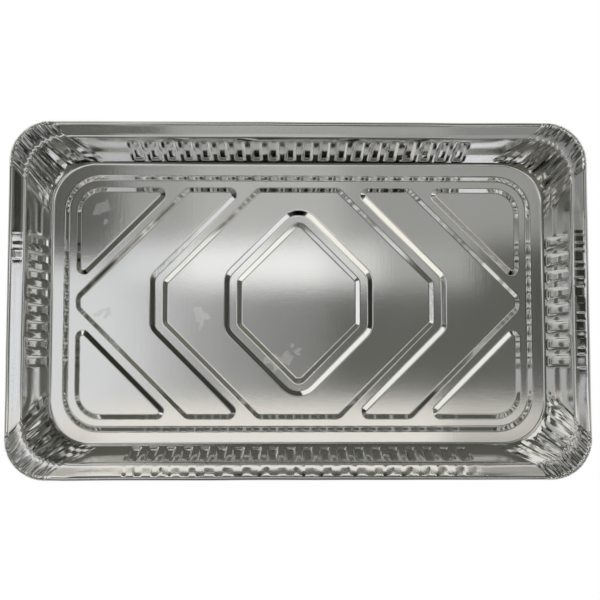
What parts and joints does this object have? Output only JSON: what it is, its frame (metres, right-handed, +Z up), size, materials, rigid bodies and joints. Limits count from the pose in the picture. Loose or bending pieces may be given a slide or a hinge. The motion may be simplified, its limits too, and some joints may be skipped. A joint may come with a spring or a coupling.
{
  "type": "foil roasting pan",
  "caption": "Rectangular aluminium foil roasting pan with fluted walls, crimped corners, a rolled rim and a floor embossed with a diamond pattern.",
  "frame": {"origin": "centre of the base, on the surface the pan stands on", "axes": "+X along the long side, +Y along the short side, +Z up towards the opening"},
  "size_m": [0.527, 0.325, 0.055],
  "materials": {
    "foil": "bright rolled foil with fine rolling lines, satin on the floor and crinkled in the corners"
  },
  "bodies": {
    "root": {"foil_pan": "foil"}
  },
  "joints": []
}
